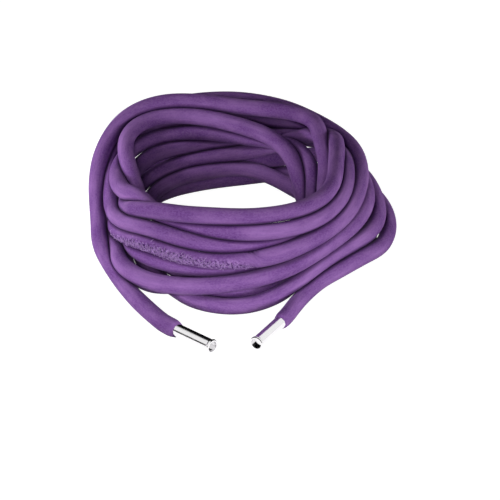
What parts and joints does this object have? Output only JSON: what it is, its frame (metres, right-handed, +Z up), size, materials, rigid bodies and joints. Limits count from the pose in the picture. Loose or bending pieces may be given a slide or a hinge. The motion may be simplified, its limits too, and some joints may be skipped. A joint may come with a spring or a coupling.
{
  "type": "fabric rope with metal tips",
  "caption": "Long soft round fabric rope with a plain metal tip on each free end, wound by hand into a loose ring-shaped pile that stands on its flat underside.",
  "frame": {"origin": "middle of the whole object's footprint, on the surface that it lies on", "axes": "+Z up through the coil's open middle, -Y towards the two free ends, +X towards the right tip's side"},
  "size_m": [0.132, 0.1602, 0.0444],
  "materials": {
    "sleeve_fabric": "matte brushed knit",
    "core_filler": "loose twisted cotton",
    "tip_metal": "polished"
  },
  "bodies": {
    "root": {"rope_coil": "sleeve_fabric", "left_end_sleeve": "sleeve_fabric", "left_end_core": "core_filler", "left_tip": "tip_metal", "right_end_sleeve": "sleeve_fabric", "right_end_core": "core_filler", "right_tip": "tip_metal"}
  },
  "joints": []
}
